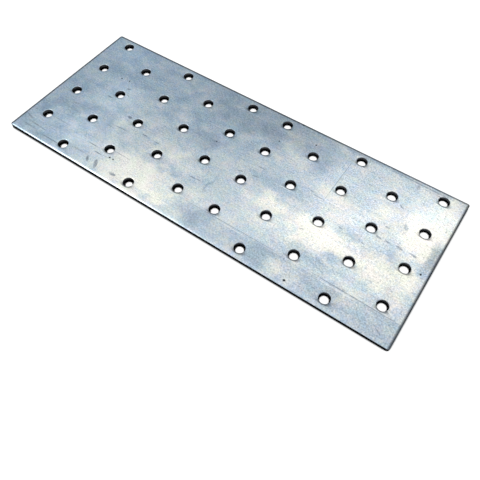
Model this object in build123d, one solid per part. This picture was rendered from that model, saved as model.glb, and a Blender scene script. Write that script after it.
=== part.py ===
from build123d import *
import os
from math import floor

# Mending plate, also called a flat nail plate or perforated plate: one piece of zinc-coated
# steel strip, punched with staggered nail holes and sheared to length. Millimetres.
# The origin is at the middle of the underside. +X runs along the plate, and +Z points out
# of the face that the punches went in by.

# Sheared blank
plate_length = 200.0
plate_width = 80.0
plate_thickness = 2.0

# What the shear leaves on the rim: the upper face rolls over before the metal parts
rim_roll_width = 0.7
rim_roll_depth = 0.18
flat_corner_radius = 0.3  # corner of the flat upper face, inside the roll

# Nail holes. Columns lie across the plate and row lines along it, and each column takes
# every second line.
hole_diameter = 5.0
column_pitch = 20.0  # from one column to the next
row_line_pitch = 10.0  # from one row line to the next
end_margin = 10.0  # from an end of the plate to its first column
side_margin = 5.0  # from a long edge to its first row line
lines_in_stagger = 2

# What a punch leaves in a hole, from the top: a rolled mouth, a straight burnished land
# of the hole's diameter, and a torn lower wall that flares to the underside
mouth_roll_width = 0.35
mouth_roll_depth = 0.12
torn_height = 0.6
torn_flare = 0.1

# Modelling allowances
overrun = 1.0  # how far a cutting form stands proud of the metal
rounding = 1e-6  # share of a pitch by which a full count may fall short


def outline():
    """The plate seen from above, its corners rounded by the roll and the flat face inside it."""
    return RectangleRounded(plate_length, plate_width, flat_corner_radius + rim_roll_width)


def rim_roll_section():
    """Upright section of the metal missing at the rim: x is 0 at the outline and points out."""
    shoulder = plate_thickness - rim_roll_depth
    above = plate_thickness + overrun
    arc_radius = (rim_roll_width**2 + rim_roll_depth**2) / (2 * rim_roll_depth)
    roll = RadiusArc((-rim_roll_width, plate_thickness), (0, shoulder), arc_radius)
    rest = Polyline(
        (0, shoulder),
        (overrun, shoulder),
        (overrun, above),
        (-rim_roll_width, above),
        (-rim_roll_width, plate_thickness),
    )
    return make_face(roll + rest)


def rim_roll_waste():
    """The rim section carried once around the outline."""
    path = outline().face().outer_wire()
    travel = path % 0
    outward = Vector(travel.Y, -travel.X, 0)
    upright = Plane(path @ 0, x_dir=outward, z_dir=-travel)
    return sweep(upright * rim_roll_section(), path=path, transition=Transition.ROUND)


def sheared_blank():
    """The blank before punching: the outline in sheet, with its upper rim rolled over."""
    return extrude(outline(), plate_thickness) - rim_roll_waste()


def places_from_edge(span, margin, pitch):
    """Distances from the middle, counted inwards from an edge that keeps its margin."""
    outermost = span / 2 - margin
    steps = floor((outermost - pitch / 2) / pitch + rounding)
    return [outermost - step * pitch for step in range(steps + 1)]


def hole_centres():
    """Centres of the nail holes. The pattern starts alike at both ends of the plate."""
    far_lines = places_from_edge(plate_width, side_margin, row_line_pitch)
    lines = far_lines + [-y for y in reversed(far_lines)]
    centres = []
    for step, x in enumerate(places_from_edge(plate_length, end_margin, column_pitch)):
        first_line = step % lines_in_stagger
        for y in lines[first_line::lines_in_stagger]:
            centres += [(-x, y), (x, y)]
    return centres


def punched_void():
    """The space of one punched hole, turned about its axis."""
    radius = hole_diameter / 2
    mouth_radius = radius + mouth_roll_width
    above = plate_thickness + overrun
    section = Polyline(
        (0, 0),
        (radius + torn_flare, 0),
        (radius, torn_height),
        (radius, plate_thickness - mouth_roll_depth),
        (mouth_radius, plate_thickness),
        (mouth_radius, above),
        (0, above),
        close=True,
    )
    return revolve(Plane.XZ * make_face(section), Axis.Z)


def mending_plate():
    """The blank with a void cut at every hole centre."""
    void = punched_void()
    return sheared_blank() - [Pos(x, y, 0) * void for x, y in hole_centres()]


os.makedirs("parts", exist_ok=True)
export_step(mending_plate(), "parts/mending_plate.step")
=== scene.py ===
"""Mending plate: a flat, zinc-coated steel plate with staggered nail holes, and the studio it is shown in."""

import math

import bmesh
import bpy
from bpy.props import FloatProperty, FloatVectorProperty, PointerProperty
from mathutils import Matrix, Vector


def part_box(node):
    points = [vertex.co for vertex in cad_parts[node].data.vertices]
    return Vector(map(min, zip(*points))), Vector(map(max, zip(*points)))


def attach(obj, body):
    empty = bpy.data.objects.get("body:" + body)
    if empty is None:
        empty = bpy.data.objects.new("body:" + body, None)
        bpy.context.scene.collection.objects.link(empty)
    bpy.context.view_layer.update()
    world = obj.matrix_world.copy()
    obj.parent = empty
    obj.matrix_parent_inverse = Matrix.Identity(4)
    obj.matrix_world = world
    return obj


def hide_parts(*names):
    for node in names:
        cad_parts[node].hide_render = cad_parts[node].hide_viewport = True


bl_info = {
    "name": "Mending Plate",
    "version": (1, 0, 0),
    "blender": (4, 5, 0),
    "location": "3D View > Sidebar > Mending Plate",
    "description": "Builds a punched and zinc-coated mending plate and a plain studio for it",
    "category": "Add Mesh",
}

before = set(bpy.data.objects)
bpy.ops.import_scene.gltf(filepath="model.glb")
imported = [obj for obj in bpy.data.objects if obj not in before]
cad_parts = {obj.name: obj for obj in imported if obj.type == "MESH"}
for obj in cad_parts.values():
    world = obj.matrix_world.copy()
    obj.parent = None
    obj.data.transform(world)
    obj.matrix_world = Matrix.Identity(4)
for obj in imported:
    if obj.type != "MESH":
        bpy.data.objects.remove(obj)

NODE = "mending_plate"
BODY = "root"
LOW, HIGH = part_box(NODE)
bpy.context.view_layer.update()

MM = 0.001
MERGE = 0.000002  # points nearer than this are one
NEAR = 0.000005  # how closely a point has to lie on a line to be picked by it
FACE_ZINC, FACE_STEEL = 0, 1  # places of the two finishes in the plate's list of materials
HAIR_INSIDE = 1 - 1e-6  # scale that keeps rounding errors from reaching outside the CAD box
RIM_CORNER_SEGMENTS = 6
RIM_ROLL_SEGMENTS = 5
MOUTH_SEGMENTS = 5
SPIN_TURN = -90  # degrees at each corner of the rim, which Blender spins clockwise when positive
STEEP = 0.5  # upright part of a face's normal below which the face counts as a wall
SMOOTH_ANGLE = 35  # degrees between faces up to which they are shaded as one
SHADED_MOUTH_SIDE = Vector((0.2, -0.98))  # along the plate and across it: the side of each hole's mouth that gets painted shade
MOUTH_WEAR_AND_SHADE_RING = (2.5 * MM, 2.95 * MM)  # from a hole's axis: where the ring of rubbed coating and painted shade round a mouth is strongest, and where it ends
HOLE_REACH = (2.9 * MM, 3.2 * MM)  # from a hole's axis: where its wall ends, and where steel is a side's
ROLLED_SHADE_BAND = (0.16, 0.03)  # millimetres below the upper face between which rolled metal loses its wear and painted shade
SHEET_APART = 350.0  # millimetres between the patterns of the upper face and the underside
SWIRL_REACH = 18  # millimetres by which the edges of patches are drawn out
PATCH_EDGE = 0.70  # strength from which a patch counts whole
FLOOR_SIDE = 20.0  # metres
FLOOR_DROP = 0.02 * MM  # gap that keeps the floor clear of the plate's underside
SHADE_REACH = 2.0  # millimetres outside the plate within which it may shade the paper


# Sizes and colours

class PlateSizes(bpy.types.PropertyGroup):
    length: FloatProperty(
        name="Length", description="Along the rows of holes",
        default=HIGH.x - LOW.x, unit="LENGTH", subtype="DISTANCE")
    width: FloatProperty(
        name="Width", description="Across the rows of holes",
        default=HIGH.y - LOW.y, unit="LENGTH", subtype="DISTANCE")
    thickness: FloatProperty(
        name="Thickness", description="Of the coated steel",
        default=HIGH.z - LOW.z, unit="LENGTH", subtype="DISTANCE")
    corner_radius: FloatProperty(
        name="Corner radius", description="Of the outline",
        default=1.0 * MM, unit="LENGTH", subtype="DISTANCE")
    rim_roll_width: FloatProperty(
        name="Rim roll width", description="How far in the shear rolls the upper face over",
        default=0.7 * MM, unit="LENGTH", subtype="DISTANCE")
    rim_roll_depth: FloatProperty(
        name="Rim roll depth", description="How far down the shear rolls the upper face over",
        default=0.18 * MM, unit="LENGTH", subtype="DISTANCE")
    hole_diameter: FloatProperty(
        name="Hole diameter", description="At the straight part of a nail hole",
        default=5.0 * MM, unit="LENGTH", subtype="DISTANCE")
    mouth_roll_width: FloatProperty(
        name="Mouth roll width", description="How far the punch rolls the metal in round a hole",
        default=0.35 * MM, unit="LENGTH", subtype="DISTANCE")
    mouth_roll_depth: FloatProperty(
        name="Mouth roll depth", description="How far down a hole its rolled mouth goes",
        default=0.12 * MM, unit="LENGTH", subtype="DISTANCE")
    torn_height: FloatProperty(
        name="Torn height", description="Of the torn lower wall of a nail hole",
        default=0.6 * MM, unit="LENGTH", subtype="DISTANCE")
    torn_flare: FloatProperty(
        name="Torn flare", description="How much wider a hole is at the underside",
        default=0.1 * MM, unit="LENGTH", subtype="DISTANCE")
    cell_length: FloatProperty(
        name="Column pitch", description="From one column of holes to the next",
        default=20.0 * MM, unit="LENGTH", subtype="DISTANCE")
    cell_width: FloatProperty(
        name="Row line pitch", description="From one row line to the next",
        default=10.0 * MM, unit="LENGTH", subtype="DISTANCE")
    mesh_step: FloatProperty(
        name="Mesh step", description="Side of one square of the mesh",
        default=1.0 * MM, unit="LENGTH", subtype="DISTANCE")


class ZincFinish(bpy.types.PropertyGroup):
    cool: FloatVectorProperty(
        name="Cool zinc", description="The bluish share of the coating",
        default=(0.470, 0.570, 0.670), size=3, subtype="COLOR", min=0.0, max=1.0)
    warm: FloatVectorProperty(
        name="Warm zinc", description="The cream share of the coating",
        default=(0.690, 0.660, 0.595), size=3, subtype="COLOR", min=0.0, max=1.0)
    lilac: FloatVectorProperty(
        name="Lilac tinge", description="Multiplies the coating where its film is thicker",
        default=(1.0, 0.965, 1.0), size=3, subtype="COLOR", min=0.0, max=1.0)
    green: FloatVectorProperty(
        name="Green tinge", description="Multiplies the coating where its film is thinner",
        default=(0.965, 1.0, 0.965), size=3, subtype="COLOR", min=0.0, max=1.0)
    # Also the colour of painted shade on rolled metal and round hole mouths.
    stain_and_shade: FloatVectorProperty(
        name="Stain", description="Dull scuffs and smudges",
        default=(0.20, 0.235, 0.28), size=3, subtype="COLOR", min=0.0, max=1.0)
    # Bright scratch lines, painted as highlight where their burrs catch the light.
    glint: FloatVectorProperty(
        name="Glint", description="Fresh bright scratches",
        default=(0.82, 0.83, 0.82), size=3, subtype="COLOR", min=0.0, max=1.0)
    # Also the colour of painted shade along the far and end rims and on the near side of hole mouths.
    pit_and_shade: FloatVectorProperty(
        name="Pit", description="Small dark pits",
        default=(0.03, 0.033, 0.04), size=3, subtype="COLOR", min=0.0, max=1.0)
    # Cut and burnished steel: dark steel, set near-black as painted shade on the sheared walls.
    cut_steel: FloatVectorProperty(
        name="Cut steel", description="The dark torn part of sheared and punched walls",
        default=(0.010, 0.0105, 0.012), size=3, subtype="COLOR", min=0.0, max=1.0)
    shaded_burnished_steel: FloatVectorProperty(
        name="Burnished steel", description="The band that the blade rubbed smooth",
        default=(0.016, 0.0165, 0.018), size=3, subtype="COLOR", min=0.0, max=1.0)
    hole_lift: FloatProperty(
        name="Hole wall level", description="How many times paler the steel is in the holes than at the sides",
        default=4.0, min=1.0)
    roughness: FloatProperty(
        name="Roughness", description="Of clean coating", default=0.26, subtype="FACTOR", min=0.0, max=1.0)


class StudioLook(bpy.types.PropertyGroup):
    floor_colour: FloatVectorProperty(
        name="Floor colour", description="Plain pale floor", default=(0.22, 0.22, 0.22), size=3, subtype="COLOR",
        min=0.0, max=1.0)
    floor_glow: FloatProperty(
        name="Floor whiteness", description="What the camera sees of the floor apart from its lighting",
        default=0.92, min=0.0)
    sky_strength: FloatProperty(
        name="Sky strength", description="Level of the soft light all round", default=1.0, min=0.0)
    back_power: FloatProperty(
        name="Back softbox", description="Behind the plate's right end", default=0.16, unit="POWER", min=0.0)
    side_power: FloatProperty(
        name="Side softbox", description="Beside the plate's left end", default=1.9, unit="POWER", min=0.0)
    lens: FloatProperty(
        name="Lens", description="Of the camera, on a 36 mm wide sensor", default=39.21, unit="CAMERA", min=1.0)


# Working in edit mode

def alone(piece):
    """Make a piece the only selected and the active one."""
    bpy.ops.object.select_all(action="DESELECT")
    piece.select_set(True)
    bpy.context.view_layer.objects.active = piece


def edit(piece, kind):
    """Open a piece's mesh with nothing selected in it."""
    alone(piece)
    bpy.ops.object.mode_set(mode="EDIT")
    bpy.ops.mesh.select_mode(type=kind)
    bpy.ops.mesh.select_all(action="DESELECT")


def done():
    bpy.ops.object.mode_set(mode="OBJECT")


def pick(piece, part, test):
    """Select just those vertices, edges or faces of the open mesh that pass a test, and say how many did."""
    bpy.ops.mesh.select_all(action="DESELECT")
    mesh = bmesh.from_edit_mesh(piece.data)
    chosen = [element for element in getattr(mesh, part) if test(element)]
    for element in chosen:
        element.select_set(True)
    mesh.select_flush_mode()
    bmesh.update_edit_mesh(piece.data)
    return len(chosen)


def middle(element):
    """Middle of an edge or face."""
    points = [corner.co for corner in element.verts]
    return sum(points, Vector()) / len(points)


def on_loop(edge, half_x, half_y, height):
    """Whether an edge lies on a level rectangle about the origin."""
    def there(point):
        across = max(abs(point.x) - half_x, abs(point.y) - half_y)
        return abs(across) < NEAR and abs(point.z - height) < NEAR
    return all(there(corner.co) for corner in edge.verts) and there(middle(edge))


def on_ring(edge, radius, height):
    """Whether an edge lies on a level circle about the origin."""
    return all(
        abs(corner.co.xy.length - radius) < NEAR and abs(corner.co.z - height) < NEAR for corner in edge.verts)


def must(found, wanted, what):
    if found != wanted:
        raise RuntimeError(f"{what}: expected {wanted}, found {found}")


# The punched cell and the blank cell that the plate is tiled with

def wall_section(sizes):
    """Radius and height up the wall of a punched hole: torn flare, straight land, rolled mouth."""
    radius = sizes.hole_diameter / 2
    land_top = sizes.thickness - sizes.mouth_roll_depth
    section = [(radius + sizes.torn_flare, 0.0), (radius, sizes.torn_height), (radius, land_top)]
    for step in range(1, MOUTH_SEGMENTS + 1):
        turn = math.radians(90) * step / MOUTH_SEGMENTS
        section.append((
            radius + sizes.mouth_roll_width * (1 - math.cos(turn)),
            land_top + sizes.mouth_roll_depth * math.sin(turn),
        ))
    return section


def add_skin(piece, sizes, height, hole_radius=None):
    """Add a level grid of mesh squares the size of a cell, with a round hole in it if one is asked for."""
    columns, rows = round(sizes.cell_length / sizes.mesh_step), round(sizes.cell_width / sizes.mesh_step)
    bpy.ops.mesh.select_all(action="DESELECT")
    bpy.ops.mesh.primitive_grid_add(x_subdivisions=columns, y_subdivisions=rows, size=1.0, location=(0, 0, height))
    bpy.ops.transform.resize(value=(sizes.cell_length, sizes.cell_width, 1), center_override=(0, 0, height))
    if hole_radius is None:
        return
    inner_x, inner_y = sizes.cell_length / 2 - sizes.mesh_step, sizes.cell_width / 2 - sizes.mesh_step
    around = 2 * (columns + rows) - 8
    pick(piece, "verts", lambda v: (
        abs(v.co.x) < inner_x - NEAR and abs(v.co.y) < inner_y - NEAR and abs(v.co.z - height) < NEAR))
    bpy.ops.mesh.delete(type="VERT")
    bpy.ops.mesh.primitive_circle_add(
        vertices=around, radius=hole_radius, fill_type="NOTHING", location=(0, 0, height))
    bpy.ops.mesh.select_mode(type="EDGE")
    found = pick(piece, "edges", lambda e: on_loop(e, inner_x, inner_y, height) or on_ring(e, hole_radius, height))
    must(found, 2 * around, "edges between a hole and its cell")
    bpy.ops.mesh.bridge_edge_loops(number_cuts=2, interpolation="LINEAR")
    bpy.ops.mesh.select_mode(type="FACE")
    must(pick(piece, "faces", lambda f: middle(f).xy.length < hole_radius * 0.9), 0, "faces over a hole")
    bpy.ops.mesh.select_mode(type="VERT")


def cell(name, sizes, punched):
    """One cell of the plate, with its upper and lower skins and, if punched, a nail hole through its middle."""
    section = wall_section(sizes)
    bpy.ops.object.select_all(action="DESELECT")
    bpy.ops.mesh.primitive_grid_add(size=1.0)
    piece = bpy.context.object
    piece.name = piece.data.name = name
    edit(piece, "VERT")
    bpy.ops.mesh.select_all(action="SELECT")
    bpy.ops.mesh.delete(type="VERT")
    for radius, height in (section[0], section[-1]):
        add_skin(piece, sizes, height, radius if punched else None)
    if punched:
        bpy.ops.mesh.select_mode(type="EDGE")
        pick(piece, "edges", lambda e: on_ring(e, *section[0]))
        for (radius, height), (wider, higher) in zip(section, section[1:]):
            bpy.ops.mesh.extrude_region_move(TRANSFORM_OT_translate={"value": (0, 0, higher - height)})
            bpy.ops.transform.resize(value=(wider / radius, wider / radius, 1), center_override=(0, 0, higher))
        bpy.ops.mesh.select_all(action="SELECT")
        bpy.ops.mesh.remove_doubles(threshold=MERGE)
    done()
    return piece


def cell_places(sizes):
    """Middle of each cell, and whether it is punched: every second one is, alike from both ends."""
    columns, rows = round(sizes.length / sizes.cell_length), round(sizes.width / sizes.cell_width)
    for column in range(columns):
        from_end = min(column, columns - 1 - column)
        for row in range(rows):
            centre = Vector((
                (column + 0.5) * sizes.cell_length - sizes.length / 2,
                (row + 0.5) * sizes.cell_width - sizes.width / 2,
            ))
            yield centre, (rows - 1 - row) % 2 == from_end % 2


def tile(sizes):
    """Lay punched and blank cells over the whole plate."""
    patterns = {True: cell("punched_cell", sizes, True), False: cell("blank_cell", sizes, False)}
    laid = []
    for centre, punched in cell_places(sizes):
        alone(patterns[punched])
        bpy.ops.object.duplicate(linked=False)
        copy = bpy.context.object
        copy.location = (*centre, 0)
        laid.append(copy)
    for pattern in patterns.values():
        bpy.data.objects.remove(pattern)
    return laid


# The rim round the cells

def rim_section(sizes):
    """Upright section of the rim: distance out from the outermost whole squares, and height."""
    radius, wide, deep = sizes.corner_radius, sizes.rim_roll_width, sizes.rim_roll_depth
    roll_radius = (wide**2 + deep**2) / (2 * deep)
    roll_turn = math.asin(wide / roll_radius)
    section = [(0.0, sizes.thickness)]
    for step in range(RIM_ROLL_SEGMENTS + 1):
        turn = roll_turn * step / RIM_ROLL_SEGMENTS
        section.append((
            radius - wide + roll_radius * math.sin(turn),
            sizes.thickness - roll_radius * (1 - math.cos(turn)),
        ))
    return section + [(radius, 0.0), (0.0, 0.0)]


def rim(sizes):
    """The plate's sheared sides and rolled upper rim: one section taken round the plate, turned at each corner."""
    half_x, half_y = sizes.length / 2 - sizes.corner_radius, sizes.width / 2 - sizes.corner_radius
    section = rim_section(sizes)
    bpy.ops.object.select_all(action="DESELECT")
    bpy.ops.mesh.primitive_plane_add(size=sizes.mesh_step)
    piece = bpy.context.object
    edit(piece, "VERT")
    bpy.ops.mesh.select_all(action="SELECT")
    bpy.ops.mesh.merge(type="CENTER")
    bpy.ops.transform.translate(value=(half_x, -half_y, sizes.thickness))
    for (out, height), (further, next_height) in zip(section, section[1:]):
        bpy.ops.mesh.extrude_region_move(
            TRANSFORM_OT_translate={"value": (0, out - further, next_height - height)})
    bpy.ops.mesh.select_mode(type="EDGE")
    bpy.ops.mesh.select_all(action="SELECT")
    step = sizes.mesh_step
    for corner, travel, length in (
        ((half_x, -half_y, 0), (0, step, 0), half_y),
        ((half_x, half_y, 0), (-step, 0, 0), half_x),
        ((-half_x, half_y, 0), (0, -step, 0), half_y),
        ((-half_x, -half_y, 0), (step, 0, 0), half_x),
    ):
        bpy.ops.mesh.spin(
            steps=RIM_CORNER_SEGMENTS, angle=math.radians(SPIN_TURN), center=corner, axis=(0, 0, 1))
        bpy.ops.mesh.extrude_repeat(steps=round(2 * length / step), offset=travel)
    bpy.ops.mesh.select_all(action="SELECT")
    bpy.ops.mesh.remove_doubles(threshold=MERGE)
    done()
    return piece


def trim_to_rim(piece, sizes):
    """Take away the outermost strip of squares, where the rim's own mesh is."""
    edge_x, edge_y = sizes.length / 2 - sizes.corner_radius, sizes.width / 2 - sizes.corner_radius
    edit(piece, "FACE")
    pick(piece, "faces", lambda f: abs(middle(f).x) > edge_x or abs(middle(f).y) > edge_y)
    bpy.ops.mesh.delete(type="FACE")
    done()


class PLATE_OT_add_punched_plate(bpy.types.Operator):
    """Add the punched and sheared plate with its zinc and cut steel finishes"""

    bl_idname = "plate.add_punched_plate"
    bl_label = "Add Punched Plate"

    def execute(self, context):
        sizes, finish = context.scene.plate_sizes, context.scene.zinc_finish
        cells = tile(sizes)
        alone(cells[0])
        for other in cells:
            other.select_set(True)
        bpy.ops.object.join()
        plate = bpy.context.object
        bpy.ops.object.transform_apply(location=True, rotation=True, scale=True)
        trim_to_rim(plate, sizes)
        edge = rim(sizes)
        alone(plate)
        edge.select_set(True)
        bpy.ops.object.join()
        edit(plate, "FACE")
        bpy.ops.mesh.select_all(action="SELECT")
        bpy.ops.mesh.remove_doubles(threshold=MERGE)
        bpy.ops.mesh.select_all(action="SELECT")
        bpy.ops.mesh.normals_make_consistent(inside=False)
        bpy.ops.transform.resize(value=(HAIR_INSIDE, HAIR_INSIDE, 1), center_override=(0, 0, 0))
        done()
        plate.name = plate.data.name = "punched_plate"
        store_wear_and_shade(plate, sizes)
        plate.data.materials.clear()
        plate.data.materials.append(zinc_coating(finish, sizes))
        plate.data.materials.append(cut_steel(finish, sizes))
        edit(plate, "FACE")
        pick(plate, "faces", lambda f: is_cut(f, sizes))
        plate.active_material_index = FACE_STEEL
        bpy.ops.object.material_slot_assign()
        done()
        alone(plate)
        bpy.ops.object.shade_smooth_by_angle(angle=math.radians(SMOOTH_ANGLE))
        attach(plate, BODY)
        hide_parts(NODE)
        return {"FINISHED"}


def is_cut(face, sizes):
    """Whether a face is on a sheared side or in a punched wall, below the rolled metal."""
    land_top = sizes.thickness - sizes.mouth_roll_depth
    return abs(face.normal.z) < STEEP and max(corner.co.z for corner in face.verts) < land_top + NEAR


def store_wear_and_shade(plate, sizes):
    """Keep what wear and painted shade follow: how far each vertex is from the nearest hole's axis, and how far it
    lies on the shaded side of a hole's mouth.
    """
    centres = [centre for centre, punched in cell_places(sizes) if punched]
    mouth_radius = sizes.hole_diameter / 2 + sizes.mouth_roll_width
    offsets = [min((vertex.co.xy - centre for centre in centres), key=lambda offset: offset.length)
               for vertex in plate.data.vertices]
    distance = plate.data.attributes.new("hole_distance", "FLOAT", "POINT")
    for offset, value in zip(offsets, distance.data):
        value.value = offset.length
    drained = plate.data.attributes.new("drained", "FLOAT", "POINT")
    for offset, value in zip(offsets, drained.data):
        on_mouth = offset.length < mouth_radius + NEAR
        value.value = max(0.0, offset.normalized().dot(SHADED_MOUTH_SIDE)) if on_mouth else 0.0


# Shader nodes

class Shader:
    """The node tree of a material or of the world, filled node by node."""

    def __init__(self, owner):
        self.owner = owner
        owner.use_nodes = True
        self.tree = owner.node_tree
        self.tree.nodes.clear()

    def add(self, kind, inputs=None, **settings):
        node = self.tree.nodes.new(kind)
        for key, value in settings.items():
            setattr(node, key, value)
        for key, value in (inputs or {}).items():
            if isinstance(value, bpy.types.NodeSocket):
                self.tree.links.new(value, node.inputs[key])
            else:
                node.inputs[key].default_value = value
        return node

    def math(self, operation, first, second=0.0, clamp=False):
        return self.add("ShaderNodeMath", {0: first, 1: second}, operation=operation, use_clamp=clamp).outputs[0]

    def noise(self, place, scale, detail=2.0, stretch=(1, 1, 1), roughness=0.5, distortion=0.0):
        """Cloudy pattern from 0 to 1; scale is in features per millimetre."""
        if stretch != (1, 1, 1):
            place = self.add("ShaderNodeMapping", {"Vector": place, "Scale": stretch}).outputs[0]
        return self.add("ShaderNodeTexNoise", {
            "Vector": place, "Scale": scale, "Detail": detail, "Roughness": roughness, "Distortion": distortion,
        }).outputs["Fac"]

    def span(self, value, low, high, to_low=0.0, to_high=1.0, smooth=True):
        """Bring a value from one range to another, clamped."""
        return self.add(
            "ShaderNodeMapRange",
            {"Value": value, "From Min": low, "From Max": high, "To Min": to_low, "To Max": to_high},
            interpolation_type="SMOOTHSTEP" if smooth else "LINEAR",
        ).outputs["Result"]

    def mix(self, share, first, second, blend="MIX"):
        node = self.add("ShaderNodeMix", data_type="RGBA", blend_type=blend, clamp_factor=True)
        for socket, value in ((node.inputs[0], share), (node.inputs[6], first), (node.inputs[7], second)):
            if isinstance(value, bpy.types.NodeSocket):
                self.tree.links.new(value, socket)
            elif isinstance(value, (int, float)):
                socket.default_value = value
            else:
                socket.default_value = (*value, 1.0)
        return node.outputs[2]

    def marks(self, place, spots):
        """Soft-edged ellipses: each is x, y, length, width in millimetres, a turn in degrees and a strength."""
        total = None
        for x, y, length, width, turn, strength in spots:
            local = self.add("ShaderNodeMapping", {
                "Vector": place, "Location": (x, y, 0), "Rotation": (0, 0, math.radians(turn)),
                "Scale": (length / 2, width / 2, 1),
            }, vector_type="TEXTURE").outputs[0]
            ball = self.add("ShaderNodeTexGradient", {"Vector": local}, gradient_type="SPHERICAL").outputs["Fac"]
            mark = self.math("MULTIPLY", ball, strength)
            total = mark if total is None else self.math("MAXIMUM", total, mark)
        return total

    def metal(self, colour, roughness, normal, edge_tint=1.0):
        """End the tree in a metal surface and give back its material."""
        surface = self.add("ShaderNodeBsdfPrincipled", {
            "Base Color": colour, "Roughness": roughness, "Normal": normal, "Metallic": 1.0,
            "Specular Tint": (edge_tint, edge_tint, edge_tint, 1.0),
        })
        self.add("ShaderNodeOutputMaterial", {"Surface": surface.outputs[0]})
        return self.owner


def millimetres(shader):
    """Place on the plate in millimetres, and its three parts."""
    place = shader.add("ShaderNodeTexCoord").outputs["Object"]
    place = shader.add(
        "ShaderNodeVectorMath", {0: place, 1: (1 / MM, 1 / MM, 1 / MM)}, operation="MULTIPLY").outputs[0]
    parts = shader.add("ShaderNodeSeparateXYZ", {0: place}).outputs
    return place, parts


# Places on the upper face, in millimetres: x, y, length, width, turn in degrees, strength

# Paler patches: partly paler coating, partly painted reflection of the bright sky and softboxes, strongest at the
# right end.
BRIGHT_PATCHES_AND_REFLECTIONS = (
    (-36, -31, 80, 30, 0, 1.0),
    (-22, -25, 58, 15, 0, 1.0),
    (-20, -35, 30, 10, 0, 1.0),
    (27, -8, 26, 16, 0, 0.7),
    (56, -12, 56, 22, 0, 0.95),
    (82, -14, 30, 22, 0, 0.9),
    (91, 20, 36, 62, 0, 1.0),
    (-68, -25, 54, 38, 0, 1.0),
    (-54, -9, 84, 26, 0, 0.5),
    (92, -12, 20, 26, 0, 0.8),
    (50, 8, 46, 26, 0, 0.3),
    (72, -12, 28, 18, 0, 1.0),
    (48, -34, 24, 16, 0, 0.75),
    (70, 20, 36, 34, 0, 0.35),
    (-24, -12, 60, 20, 0, 0.6),
    (-68, 2, 52, 46, 0, 0.72),
    (-84, 31, 52, 30, 0, 0.5),
)
# Darker patches: partly darker, duller coating, partly painted shade where the metal reflects darker sky, as along
# the far edge.
DULL_PATCHES_AND_SHADE = (
    (6, -34, 40, 18, 0, 0.6),
    (72, -35, 28, 17, 0, 0.9),
    (61.5, -21.5, 22, 14, 15, 0.35),
    (36, 26, 24, 34, 0, 0.5),
    (64, -3, 13, 8, 0, 0.3),
    (82, -4, 10, 6, 0, 0.3),
    (-16, 6, 28, 16, 20, 1.0),
    (99, 5, 8, 24, 0, 0.8),
    (81, 14, 7, 6, 0, 0.7),
    (0, -16.5, 4, 17, 0, 0.7),
    (-85, -9, 16, 8, 0, 0.5),
    (-74, 8, 20, 12, -20, 0.6),
    (24, 40, 170, 9, 0, 0.9),
    (2, 32, 116, 34, 0, 1.0),
    (-97, -33, 18, 20, 0, 1.0),
    (-88, -32, 26, 7, -8, 0.7),
    (-60, 30, 60, 9, 0, 0.35),
    (-42, 8, 22, 8, 10, 0.35),
    (98, 37, 13, 8, 0, 0.4),
)
# Painted shade: a darker band over the far part of the upper face, standing in for darker reflected sky.
PAINTED_FAR_SHADE = (
    (4, 35, 150, 44, 0, 1.0),
)
PITS = (
    (-77, 14.3, 1.0, 0.8, 0, 1.0),
    (-72.4, 14.9, 0.9, 0.8, 0, 1.0),
    (12.1, 23.9, 0.9, 0.9, 0, 1.0),
    (27.7, 31.6, 1.0, 0.9, 0, 1.0),
    (16.4, 39.1, 0.9, 0.7, 0, 1.0),
    (52.9, -37.4, 1.5, 1.2, 0, 1.0),
    (-46.4, -29, 1.2, 1.0, 0, 0.9),
    (-44.4, -29, 1.0, 0.9, 0, 0.9),
    (-12, 7, 1.0, 0.8, 0, 0.8),
    (96.4, -4.2, 1.0, 1.4, 0, 0.8),
)
# Bright scratch lines: painted highlight where scratch burrs catch the light.
GLINTS = (
    (73, -29.3, 26, 0.8, 0, 0.9),
    (22, -29.2, 24, 0.6, 0, 0.6),
    (94, -26.5, 6, 1.2, -25, 0.7),
    (66, -0.9, 3.0, 0.8, -6, 0.8),
    (30, 1.8, 12, 0.6, 0, 0.5),
    (-60, -24.8, 40, 0.5, 0, 0.4),
)
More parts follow.
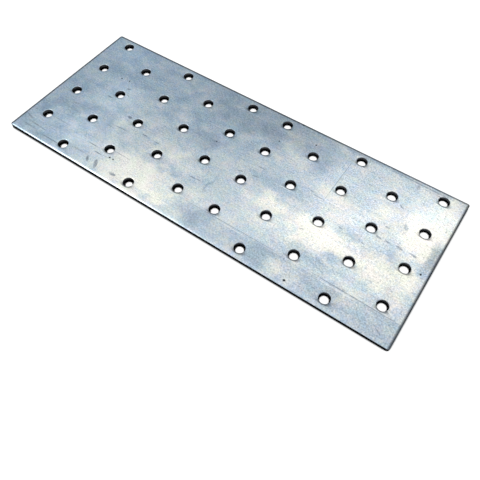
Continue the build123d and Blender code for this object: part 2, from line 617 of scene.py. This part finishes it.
SCUFFS = (
    (-55.4, -4.4, 3.4, 1.9, -10, 1.0),
    (-68.8, 10.2, 3.0, 1.4, 20, 0.7),
    (-49.3, -35.4, 6.2, 2.2, -62, 1.0),
    (-54.5, -35.2, 4.8, 1.8, -50, 0.6),
    (-39, -35.7, 4.8, 1.9, 0, 0.9),
    (-43, -24.8, 14.0, 0.6, 0, 0.5),
    (-80, -24.8, 16.0, 0.6, 0, 0.4),
    (-42, -9.3, 4.4, 0.9, 0, 0.8),
    (-34, -9.7, 3.6, 0.9, 0, 0.8),
    (-8.1, -16.6, 5.0, 0.9, 0, 0.9),
    (-5.0, -16.3, 4.0, 0.7, 0, 0.6),
    (-52.8, -30, 6.0, 0.8, 0, 0.7),
    (-73, 0.8, 4.4, 0.9, 0, 0.7),
    (14.6, -0.1, 4.6, 0.9, 8, 0.8),
    (7.2, -1.4, 3.0, 1.0, 20, 0.8),
    (14.5, 5.6, 6.5, 0.8, 0, 0.6),
    (43.5, 6, 8.0, 0.9, 0, 0.6),
    (76, 21.9, 3.4, 1.1, -30, 0.8),
    (77.5, 36, 2.4, 5.5, 0, 0.35),
    (74.5, 2.2, 4.0, 1.2, -12, 1.0),
    (79, 2.1, 3.4, 1.0, -12, 1.0),
    (84, 2.3, 4.2, 1.2, -14, 1.0),
    (90, 2.2, 4.4, 1.2, -8, 1.0),
    (75.6, 8.8, 3.0, 0.9, 0, 0.9),
    (78, -28.4, 52.0, 0.6, -0.7, 1.0),
    (22, -28.3, 70.0, 0.5, 0.3, 0.6),
    (78, 37.9, 48.0, 1.0, -0.5, 0.5),
    (46.4, 20, 0.5, 44.0, 0, 0.6),
    (59.6, -2.8, 3.4, 1.2, -6, 0.6),
    (39.8, 7.2, 3.0, 0.9, -5, 0.7),
    (46.2, -12.4, 3.0, 0.9, 10, 0.6),
    (70.6, -4.3, 2.6, 0.9, -10, 0.6),
    (88, 36.3, 8.0, 0.9, -3, 0.5),
    (93.6, -36, 4.5, 0.9, -30, 0.6),
    (-95, 3, 5.0, 0.8, -8, 0.4),
    (-95, -6.5, 5.0, 0.8, -5, 0.4),
    (-54, -12.2, 13.0, 0.8, 4, 0.45),
    (-95.6, -31, 7.0, 1.0, -14, 0.8),
    (-88, -33.4, 14.0, 0.8, -3, 0.9),
    (-91, -35.6, 12.0, 0.8, -2, 0.8),
    (-76, -36.4, 16.0, 0.7, 0, 0.75),
    (-62, -33.6, 10.0, 0.8, 2, 0.65),
    (-58, -27.4, 9.0, 0.7, 0, 0.65),
    (-66, 6.4, 4.0, 0.8, -20, 0.4),
    (-84, -12, 7.0, 0.9, 12, 0.35),
    (-60, -14, 6.0, 0.8, -8, 0.35),
)


def zinc_coating(finish, sizes):
    """Worn zinc: cool and cream clouds, fine grain, rolling streaks, scuffs, stains and pits, with painted light:
    reflection and shade in its patches, a darker far part, highlights along the near edge and on scratch burrs,
    and shade on rolled metal, round hole mouths and along the far and end rims.
    """
    shader = Shader(bpy.data.materials.new("zinc_coating"))
    place, (x, y, z) = millimetres(shader)
    upper = shader.math("GREATER_THAN", z, sizes.thickness / MM / 2)
    apart = shader.math("MULTIPLY", upper, SHEET_APART)
    apart = shader.add("ShaderNodeCombineXYZ", {"X": apart, "Y": 0.0, "Z": 0.0}).outputs[0]
    sheet = shader.add("ShaderNodeVectorMath", {0: place, 1: apart}, operation="ADD").outputs[0]
    flat = shader.add("ShaderNodeVectorMath", {0: place, 1: (1, 1, 0)}, operation="MULTIPLY").outputs[0]
    clouds = shader.noise(sheet, 0.040, detail=3.0, stretch=(0.7, 1.2, 1), roughness=0.5)
    blotches = shader.noise(sheet, 0.14, detail=3.0, stretch=(0.8, 1.1, 1), roughness=0.45, distortion=0.6)
    mottle = shader.noise(sheet, 0.55, detail=2.0, roughness=0.6)
    grain = shader.noise(sheet, 1.5, detail=1.0)
    patina = shader.noise(sheet, 0.35, detail=2.0, distortion=0.4)
    tarnish = shader.noise(sheet, 1.1, detail=1.0)
    streaks = shader.noise(sheet, 1.0, detail=2.0, stretch=(0.04, 1.3, 1))
    slanted = shader.add("ShaderNodeMapping", {"Vector": sheet, "Rotation": (0, 0, math.radians(42))}).outputs[0]
    wipes = shader.noise(slanted, 1.0, detail=2.0, stretch=(0.12, 1.1, 1))
    swirl = shader.add(
        "ShaderNodeTexNoise", {"Vector": sheet, "Scale": 0.12, "Detail": 3.0, "Roughness": 0.55}).outputs["Color"]
    swirl = shader.add("ShaderNodeVectorMath", {0: swirl, 1: (-0.5, -0.5, -0.5)}, operation="ADD").outputs[0]
    swirl = shader.add("ShaderNodeVectorMath", {0: swirl, 1: (SWIRL_REACH, SWIRL_REACH, 0)}, operation="MULTIPLY").outputs[0]
    loose = shader.add("ShaderNodeVectorMath", {0: flat, 1: swirl}, operation="ADD").outputs[0]
    # Paler coating and painted reflection, on the upper face only.
    bright = shader.math("MULTIPLY", shader.span(shader.marks(loose, BRIGHT_PATCHES_AND_REFLECTIONS), 0.0, PATCH_EDGE), upper)
    # Darker coating and painted shade, with a darker band between the near edge and the scratch line on the right
    # half.
    strip = shader.math("MULTIPLY", shader.span(y, -29.2, -28.3, 0.5, 0.0), shader.span(x, 0.0, 16.0))
    dull_and_shaded = shader.math("MAXIMUM", shader.span(shader.marks(loose, DULL_PATCHES_AND_SHADE), 0.0, PATCH_EDGE), strip)
    dull_and_shaded = shader.math("MULTIPLY", dull_and_shaded, upper)
    # Painted shade over the far part of the upper face.
    far_shade_mask = shader.math("MULTIPLY", shader.span(shader.marks(loose, PAINTED_FAR_SHADE), 0.0, PATCH_EDGE), upper)
    liveliness = shader.span(x, -60.0, -20.0, 0.92, 0.90)
    liveliness = shader.math("ADD", liveliness, shader.span(x, 20.0, 60.0, 0.0, 0.25))
    calm = shader.span(x, -75.0, 0.0, 0.5, 1.0)

    def layer(total, source, amount):
        return shader.math("ADD", total, shader.span(source, 0.0, 1.0, -amount, amount, smooth=False))

    uneven = shader.math("MULTIPLY", layer(layer(0.0, clouds, 0.34), blotches, 0.17), calm)
    uneven = layer(uneven, mottle, 0.08)
    uneven = layer(uneven, grain, 0.46)
    uneven = layer(uneven, wipes, 0.12)
    uneven = layer(uneven, streaks, 0.14)
    uneven = shader.math("MULTIPLY", uneven, liveliness)
    tone = shader.math("ADD", uneven, 1.0)
    tone = shader.math("ADD", tone, shader.math("MULTIPLY", bright, 0.29))
    tone = shader.math("SUBTRACT", tone, shader.math("MULTIPLY", dull_and_shaded, 0.25))
    tone = shader.math("SUBTRACT", tone, shader.math("MULTIPLY", far_shade_mask, 0.09))
    # Painted highlight: a paler band along the near edge widens the rim roll's reflection.
    tone = shader.math("ADD", tone, shader.math("MULTIPLY", shader.span(y, -39.2, -37.7, 0.12, 0.0), upper))
    tint = shader.math("MULTIPLY", layer(layer(0.0, clouds, 0.6), blotches, 0.6), calm)
    tint = shader.math("ADD", tint, shader.span(x, -60.0, 20.0, 0.28, 0.40))
    tint = layer(tint, patina, 0.55)
    tint = layer(tint, tarnish, 0.55)
    warming = shader.math(
        "MULTIPLY", shader.span(x, -70.0, -30.0, 0.1, 0.65), shader.span(y, 8.0, 24.0, 1.0, 0.4))
    tint = shader.math("ADD", tint, shader.math("MULTIPLY", bright, warming))
    tint = shader.math("SUBTRACT", tint, shader.math("MULTIPLY", dull_and_shaded, 0.35), clamp=True)
    colour = shader.mix(tint, finish.cool, finish.warm)
    tinge = layer(0.5, shader.noise(sheet, 0.22, detail=2.0, distortion=0.5), 1.6)
    colour = shader.mix(1.0, colour, shader.mix(tinge, finish.lilac, finish.green), blend="MULTIPLY")
    tone = shader.add("ShaderNodeCombineXYZ", {"X": tone, "Y": tone, "Z": tone}).outputs[0]
    colour = shader.mix(1.0, colour, tone, blend="MULTIPLY")
    from_hole = shader.add("ShaderNodeAttribute", attribute_name="hole_distance").outputs["Fac"]
    drained = shader.add("ShaderNodeAttribute", attribute_name="drained").outputs["Fac"]
    from_hole = shader.math("ADD", from_hole, shader.span(mottle, 0.0, 1.0, -0.4 * MM, 0.4 * MM, smooth=False))
    # Darker ring round each hole's mouth and on rolled metal: rubbed coating and painted shade.
    rubbed = shader.span(from_hole, *MOUTH_WEAR_AND_SHADE_RING, 0.35, 0.0)
    rolled = shader.span(z, *(sizes.thickness / MM - below for below in ROLLED_SHADE_BAND), 0.4, 0.0)
    worn_and_shaded = shader.math("MULTIPLY", shader.math("MAXIMUM", rubbed, rolled), upper)
    colour = shader.mix(worn_and_shaded, colour, finish.stain_and_shade)
    # Painted shade on the near side of each hole's mouth, stronger towards the right.
    drained = shader.math("MULTIPLY", shader.span(drained, 0.0, 0.8), shader.span(x, -90.0, 0.0, 0.3, 0.72))
    drained = shader.math("MULTIPLY", drained, upper)
    colour = shader.mix(drained, colour, finish.pit_and_shade)
    # Painted shade: a dark line along the far edge and both ends, not the near edge, stronger on the left half.
    past_end = shader.math("SUBTRACT", shader.math("ABSOLUTE", x), sizes.length / MM / 2)
    past_side = shader.math("SUBTRACT", y, sizes.width / MM / 2)
    painted_rim_shade = shader.span(shader.math("MAXIMUM", past_end, past_side), -1.4, -0.6)
    painted_rim_shade = shader.math("MULTIPLY", painted_rim_shade, shader.span(x, 0.0, 80.0, 0.88, 0.70))
    colour = shader.mix(shader.math("MULTIPLY", painted_rim_shade, upper), colour, finish.pit_and_shade)
    frayed = shader.math("MULTIPLY", shader.span(mottle, 0.35, 0.60, 0.5, 1.0), upper)
    scuffed = shader.math("MULTIPLY", shader.span(shader.marks(flat, SCUFFS), 0.0, 0.4, 0.0, 0.8), frayed)
    colour = shader.mix(scuffed, colour, finish.stain_and_shade)
    # Painted highlight along scratch burrs.
    glint = shader.math("MULTIPLY", shader.span(shader.marks(flat, GLINTS), 0.0, 0.4, 0.0, 0.7), frayed)
    colour = shader.mix(glint, colour, finish.glint)
    specks = shader.span(shader.noise(sheet, 0.95, detail=1.0, roughness=0.4), 0.61, 0.70)
    specks = shader.math("MULTIPLY", specks, shader.span(x, -40.0, 60.0, 0.12, 0.32))
    colour = shader.mix(shader.math("MULTIPLY", specks, upper), colour, finish.stain_and_shade)
    pitted = shader.math("MULTIPLY", shader.span(shader.marks(flat, PITS), 0.0, 0.35), upper)
    colour = shader.mix(pitted, colour, finish.pit_and_shade)
    roughness = shader.span(dull_and_shaded, 0.0, 1.0, finish.roughness, finish.roughness + 0.12, smooth=False)
    roughness = layer(roughness, blotches, 0.12)
    bump = shader.add("ShaderNodeBump", {"Height": grain, "Strength": 0.3, "Distance": 0.01 * MM}).outputs[0]
    return shader.metal(colour, roughness, bump)


def cut_steel(finish, sizes):
    """Sheared walls: a burnished band above, torn metal below, both dark steel darkened to near-black as painted
    shade; paler in the holes.
    """
    shader = Shader(bpy.data.materials.new("cut_steel"))
    place, (_, _, z) = millimetres(shader)
    tear = shader.noise(place, 1.5, detail=3.0)
    height = shader.math("ADD", z, shader.span(tear, 0.3, 0.7, -0.25, 0.25, smooth=False))
    band = shader.span(height, 0.75, 1.05)
    colour = shader.mix(band, finish.cut_steel, finish.shaded_burnished_steel)
    from_hole = shader.add("ShaderNodeAttribute", attribute_name="hole_distance").outputs["Fac"]
    lift = shader.span(from_hole, *HOLE_REACH, finish.hole_lift, 1.0)
    lift = shader.add("ShaderNodeCombineXYZ", {"X": lift, "Y": lift, "Z": lift}).outputs[0]
    colour = shader.mix(1.0, colour, lift, blend="MULTIPLY")
    roughness = shader.span(band, 0.0, 1.0, 0.6, 0.35, smooth=False)
    rough = shader.noise(place, 4.0, detail=3.0, stretch=(1, 1, 0.4))
    bump = shader.add("ShaderNodeBump", {"Height": rough, "Strength": 0.5, "Distance": 0.03 * MM}).outputs[0]
    return shader.metal(colour, roughness, bump, edge_tint=0.2)


# The studio

class STUDIO_OT_set_stage(bpy.types.Operator):
    """Set the pale floor, the soft light all round, the softboxes and the camera"""

    bl_idname = "studio.set_stage"
    bl_label = "Set Stage"

    def execute(self, context):
        look = context.scene.studio_look
        bpy.ops.object.select_all(action="DESELECT")
        bpy.ops.mesh.primitive_plane_add(size=FLOOR_SIDE, location=(0, 0, LOW.z - FLOOR_DROP))
        floor = context.object
        floor.name = floor.data.name = "floor"
        floor.data.materials.append(floor_paper(look))
        sky(context.scene, look)
        softbox("back_softbox", (88, 51), (0.46, 0.18), look.back_power)
        softbox("side_softbox", (200, 50), (0.74, 0.38), look.side_power)
        camera(context.scene, look)
        context.scene.view_settings.view_transform = "Standard"
        return {"FINISHED"}


def floor_paper(look):
    """White paper that the camera and the metal see as white, except where the plate keeps the sky from it."""
    shader = Shader(bpy.data.materials.new("floor_paper"))
    rays = shader.add("ShaderNodeLightPath").outputs
    seen = shader.math("MAXIMUM", rays["Is Camera Ray"], rays["Is Glossy Ray"])
    seen = shader.math("MAXIMUM", seen, rays["Is Transmission Ray"])
    _, (x, y, _) = millimetres(shader)
    near_plate = shader.math(
        "MULTIPLY",
        shader.math("LESS_THAN", shader.math("ABSOLUTE", x), HIGH.x / MM + SHADE_REACH),
        shader.math("LESS_THAN", shader.math("ABSOLUTE", y), HIGH.y / MM + SHADE_REACH))
    open_sky = shader.add("ShaderNodeAmbientOcclusion", {"Distance": 6 * MM}, samples=64).outputs["AO"]
    beside = shader.math("MAXIMUM", shader.math("GREATER_THAN", shader.math("ABSOLUTE", x), HIGH.x / MM),
                         shader.math("GREATER_THAN", shader.math("ABSOLUTE", y), HIGH.y / MM))
    shaded_below = shader.span(x, -60.0, 90.0, 0.495, 0.43)
    lit_from = shader.math("ADD", shaded_below, shader.span(beside, 0.0, 1.0, 0.05, 0.24))
    shade = shader.span(open_sky, shaded_below, lit_from)
    clear = shader.math("MULTIPLY", seen, look.floor_glow)

    def paper(glow, colour):
        glow = shader.add("ShaderNodeEmission", {"Color": (1, 1, 1, 1), "Strength": glow}).outputs[0]
        sheet = shader.add("ShaderNodeBsdfDiffuse", {"Color": colour}).outputs[0]
        return shader.add("ShaderNodeAddShader", {0: glow, 1: sheet}).outputs[0]

    shaded_colour = shader.mix(shade, (0.0, 0.0, 0.0), look.floor_colour)
    surface = shader.add("ShaderNodeMixShader", {
        0: near_plate,
        1: paper(clear, (*look.floor_colour, 1)),
        2: paper(shader.math("MULTIPLY", clear, shade), shaded_colour),
    }).outputs[0]
    shader.add("ShaderNodeOutputMaterial", {"Surface": surface})
    return shader.owner


SKY_STOPS = (  # elevation in degrees, colour of the soft light there
    (0, (1.0, 1.0, 1.0)),
    (18, (1.0, 1.0, 1.0)),
    (23, (0.72, 0.77, 0.80)),
    (29, (0.40, 0.47, 0.54)),
    (36, (0.47, 0.58, 0.68)),
    (40, (0.47, 0.58, 0.68)),
    (44, (0.355, 0.43, 0.50)),
    (47, (0.59, 0.68, 0.76)),
    (51.5, (1.22, 1.24, 1.22)),
    (60, (1.30, 1.34, 1.35)),
    (70, (1.00, 1.04, 1.08)),
    (90, (0.88, 0.92, 0.96)),
)
DARK_FLAG = (50, 35)  # azimuth and elevation in degrees of a dark card behind the plate's right end
FLAG_LEVEL = 0.35
FLAG_EDGE = (38, 18)  # degrees from its middle where it ends and where it is whole
FLAG_FOOT = (14, 28)  # elevations in degrees below which it isn't there and above which it is whole


def toward(azimuth, elevation):
    """Unit vector to a place in the sky, from degrees."""
    azimuth, elevation = math.radians(azimuth), math.radians(elevation)
    return Vector((
        math.cos(elevation) * math.cos(azimuth), math.cos(elevation) * math.sin(azimuth), math.sin(elevation)))


def softbox(name, direction, size, power):
    """A soft rectangular lamp a metre from the plate: direction is azimuth and elevation in degrees."""
    place = toward(*direction)
    bpy.ops.object.light_add(type="AREA", location=place, rotation=place.to_track_quat("Z", "Y").to_euler())
    lamp = bpy.context.object
    lamp.name = lamp.data.name = name
    lamp.data.shape = "RECTANGLE"
    lamp.data.size, lamp.data.size_y = size
    lamp.data.energy = power


def sky(scene, look):
    """Soft light that changes with height above the horizon, with a dark flag in it."""
    shader = Shader(bpy.data.worlds.new("soft_light"))
    scene.world = shader.owner
    direction = shader.add("ShaderNodeTexCoord").outputs["Generated"]
    height = shader.add("ShaderNodeSeparateXYZ", {0: direction}).outputs["Z"]
    ramp = shader.add("ShaderNodeValToRGB", {0: height})
    elements = ramp.color_ramp.elements
    for number, (elevation, colour) in enumerate(SKY_STOPS):
        place = math.sin(math.radians(elevation))
        stop = elements[number] if number < 2 else elements.new(place)
        stop.position = place
        stop.color = (*colour, 1)
    to_flag = shader.add(
        "ShaderNodeVectorMath", {0: direction, 1: toward(*DARK_FLAG)}, operation="DOT_PRODUCT").outputs["Value"]
    outer, inner = (math.cos(math.radians(angle)) for angle in FLAG_EDGE)
    flag = shader.span(height, *(math.sin(math.radians(angle)) for angle in FLAG_FOOT))
    flag = shader.math("MULTIPLY", shader.span(to_flag, outer, inner, 0.0, 1.0 - FLAG_LEVEL), flag)
    light = shader.math("MULTIPLY", shader.math("SUBTRACT", 1.0, flag), look.sky_strength)
    back = shader.add("ShaderNodeBackground", {"Color": ramp.outputs["Color"], "Strength": light})
    shader.add("ShaderNodeOutputWorld", {"Surface": back.outputs[0]})


CAMERA_PLACE = (92.06 * MM, -127.13 * MM, 185.47 * MM)
CAMERA_TURN = (32.046, -0.366, 34.491)  # degrees about x, y and z
SENSOR_WIDTH = 36.0  # millimetres
CLIP_RANGE = (0.01, 100.0)  # metres from the camera


def camera(scene, look):
    bpy.ops.object.camera_add(location=CAMERA_PLACE, rotation=[math.radians(turn) for turn in CAMERA_TURN])
    eye = bpy.context.object
    eye.name = "photo_view"
    eye.data.lens = look.lens
    eye.data.sensor_width = SENSOR_WIDTH
    eye.data.clip_start, eye.data.clip_end = CLIP_RANGE
    scene.camera = eye


# The panel and the run

class PLATE_PT_sidebar(bpy.types.Panel):
    """Sizes, finishes and studio of the mending plate"""

    bl_idname = "PLATE_PT_sidebar"
    bl_label = "Mending Plate"
    bl_space_type = "VIEW_3D"
    bl_region_type = "UI"
    bl_category = "Mending Plate"

    def draw(self, context):
        for title, group, operator in (
            ("Plate", context.scene.plate_sizes, None),
            ("Finish", context.scene.zinc_finish, PLATE_OT_add_punched_plate.bl_idname),
            ("Studio", context.scene.studio_look, STUDIO_OT_set_stage.bl_idname),
        ):
            box = self.layout.box()
            box.label(text=title)
            for name in group.__annotations__:
                box.prop(group, name)
            if operator:
                box.operator(operator)


CLASSES = (
    PlateSizes, ZincFinish, StudioLook, PLATE_OT_add_punched_plate, STUDIO_OT_set_stage, PLATE_PT_sidebar)


def register():
    for kind in CLASSES:
        bpy.utils.register_class(kind)
    bpy.types.Scene.plate_sizes = PointerProperty(type=PlateSizes)
    bpy.types.Scene.zinc_finish = PointerProperty(type=ZincFinish)
    bpy.types.Scene.studio_look = PointerProperty(type=StudioLook)


def unregister():
    del bpy.types.Scene.plate_sizes
    del bpy.types.Scene.zinc_finish
    del bpy.types.Scene.studio_look
    for kind in reversed(CLASSES):
        bpy.utils.unregister_class(kind)


def main():
    register()
    bpy.ops.plate.add_punched_plate()
    bpy.ops.studio.set_stage()


if __name__ == "__main__":
    main()
